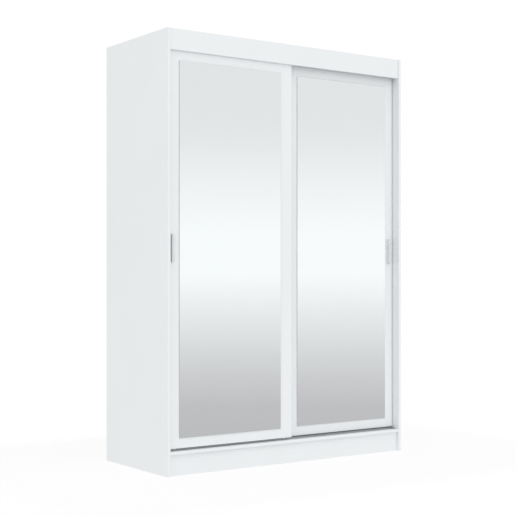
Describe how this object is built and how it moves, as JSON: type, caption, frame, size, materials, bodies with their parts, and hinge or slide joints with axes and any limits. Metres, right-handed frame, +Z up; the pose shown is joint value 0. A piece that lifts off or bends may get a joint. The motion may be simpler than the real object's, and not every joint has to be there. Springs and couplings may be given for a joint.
{
  "type": "sliding door wardrobe",
  "caption": "Tall white sliding wardrobe. Its mirror-faced doors have white borders and slim bar pulls, and slide past each other on a double track before shelves and a hanging rail.",
  "frame": {"origin": "on the floor, under the middle of the carcass", "axes": "+Z up, +X to the right as seen from the front, +Y to the rear; the doors face -Y"},
  "size_m": [1.5, 0.63, 2.17],
  "materials": {
    "white_board": "white melamine on chipboard, satin, with matching edge banding",
    "door_board": "white melamine on chipboard, satin, with matching edge banding",
    "hardboard": "thin hardboard, raw brown rear face and white lacquered inner face",
    "foam_tape": "double-sided foam tape, dull grey",
    "mirror": "silvered float glass, polished",
    "pull": "satin silver, finely brushed along its length",
    "track": "grey anodised extrusion",
    "grey_plastic": "moulded, fine texture",
    "nylon": "natural nylon, smooth",
    "steel": "bright zinc plated",
    "chrome": "bright chrome plated",
    "bumper": "soft pale grey"
  },
  "bodies": {
    "carcass": {"side_panel_left": "white_board", "side_panel_right": "white_board", "fascia": "white_board", "top_panel": "white_board", "base_panel": "white_board", "plinth_front": "white_board", "plinth_rear": "white_board", "plinth_brace": "white_board", "back_panel_left": "hardboard", "back_panel_right": "hardboard", "back_joint_strip": "nylon", "centre_divider": "white_board", "hat_shelf_left": "white_board", "hat_shelf_right": "white_board", "shelf_1": "white_board", "shelf_2": "white_board", "shelf_3": "white_board", "shelf_4": "white_board", "rail_socket_left": "grey_plastic", "rail_socket_right": "grey_plastic", "hanging_rail": "chrome", "bottom_track": "track", "top_track": "track", "bumper_outer_left": "bumper", "bumper_outer_right": "bumper", "bumper_inner_left": "bumper", "bumper_inner_right": "bumper"},
    "left_door": {"left_door_board": "door_board", "left_door_mirror": "mirror", "left_door_tape_1": "foam_tape", "left_door_tape_2": "foam_tape", "left_door_tape_3": "foam_tape", "left_door_tape_4": "foam_tape", "left_door_pull": "pull", "left_door_roller_housing_left": "grey_plastic", "left_door_roller_housing_right": "grey_plastic", "left_door_axle_left": "steel", "left_door_axle_right": "steel", "left_door_top_guide_left": "grey_plastic", "left_door_top_guide_right": "grey_plastic"},
    "right_door": {"right_door_board": "door_board", "right_door_mirror": "mirror", "right_door_tape_1": "foam_tape", "right_door_tape_2": "foam_tape", "right_door_tape_3": "foam_tape", "right_door_tape_4": "foam_tape", "right_door_pull": "pull", "right_door_roller_housing_left": "grey_plastic", "right_door_roller_housing_right": "grey_plastic", "right_door_axle_left": "steel", "right_door_axle_right": "steel", "right_door_top_guide_left": "grey_plastic", "right_door_top_guide_right": "grey_plastic"},
    "left_door_wheel_left": {"left_door_wheel_left": "nylon"},
    "left_door_wheel_right": {"left_door_wheel_right": "nylon"},
    "right_door_wheel_left": {"right_door_wheel_left": "nylon"},
    "right_door_wheel_right": {"right_door_wheel_right": "nylon"}
  },
  "joints": [
    {"name": "left_door_slide", "type": "slide", "parent": "carcass", "child": "left_door", "axis": [1, 0, 0], "range_m": [0, 0.721]},
    {"name": "right_door_slide", "type": "slide", "parent": "carcass", "child": "right_door", "axis": [1, 0, 0], "range_m": [-0.721, 0]},
    {"name": "left_door_wheel_left_spin", "type": "hinge", "parent": "left_door", "child": "left_door_wheel_left", "pos_m": [-0.688, -0.2745, 0.1356], "axis": [0, 1, 0], "continuous": true},
    {"name": "left_door_wheel_right_spin", "type": "hinge", "parent": "left_door", "child": "left_door_wheel_right", "pos_m": [-0.03, -0.2745, 0.1356], "axis": [0, 1, 0], "continuous": true},
    {"name": "right_door_wheel_left_spin", "type": "hinge", "parent": "right_door", "child": "right_door_wheel_left", "pos_m": [0.033, -0.2445, 0.1356], "axis": [0, 1, 0], "continuous": true},
    {"name": "right_door_wheel_right_spin", "type": "hinge", "parent": "right_door", "child": "right_door_wheel_right", "pos_m": [0.691, -0.2445, 0.1356], "axis": [0, 1, 0], "continuous": true}
  ],
  "couplings": [
    {"joint": "left_door_wheel_left_spin", "follows": "left_door_slide", "rad_per_m": 125},
    {"joint": "left_door_wheel_right_spin", "follows": "left_door_slide", "rad_per_m": 125},
    {"joint": "right_door_wheel_left_spin", "follows": "right_door_slide", "rad_per_m": 125},
    {"joint": "right_door_wheel_right_spin", "follows": "right_door_slide", "rad_per_m": 125}
  ]
}
